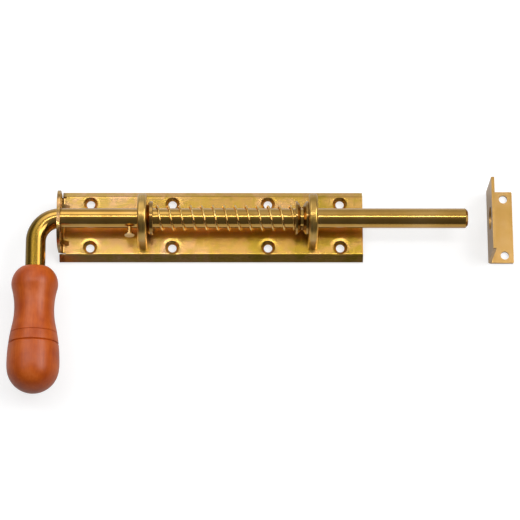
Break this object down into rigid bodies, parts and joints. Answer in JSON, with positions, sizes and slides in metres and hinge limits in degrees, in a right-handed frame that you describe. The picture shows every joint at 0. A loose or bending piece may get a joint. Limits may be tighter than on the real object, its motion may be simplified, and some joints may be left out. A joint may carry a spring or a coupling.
{
  "type": "spring gate bolt",
  "caption": "Spring gate bolt: a sprung, cranked steel bar with a turned wooden grip in two guides on a folded plate, with a separate angle striker.",
  "frame": {"origin": "middle of the base plate, on the face of the gate that its folded edges stand on", "axes": "+X along the bar towards its tip, +Z out of the gate, +Y away from the side the grip hangs to"},
  "size_m": [0.3303, 0.1415, 0.039],
  "materials": {
    "plate": "bright yellow zinc plating",
    "guide": "yellow zinc plating",
    "bar": "yellow zinc plating",
    "pin": "yellow zinc plating",
    "washer": "yellow zinc plating",
    "spring": "yellow zinc plating",
    "grip": "stained, satin varnish",
    "striker": "yellow zinc plating"
  },
  "bodies": {
    "fixing": {"base_plate": "plate", "rear_guide": "guide", "front_guide": "guide", "rear_seat_washer": "washer", "striker": "striker"},
    "carriage": {"front_seat_washer": "washer", "buffer_washer": "washer", "spring": "spring"},
    "bolt": {"bolt_bar": "bar", "cross_pin": "pin", "catch_pin": "pin", "wooden_grip": "grip"}
  },
  "joints": [
    {"name": "bolt_slide", "type": "slide", "parent": "fixing", "child": "carriage", "axis": [1, 0, 0], "range_m": [-0.051, 0], "stiffness_N_per_m": 560, "springref_m": 0.045, "deforming": ["spring"]},
    {"name": "bolt_turn", "type": "hinge", "parent": "carriage", "child": "bolt", "pos_m": [0, 0, 0.022], "axis": [-1, 0, 0], "range_deg": [0, 180]}
  ]
}
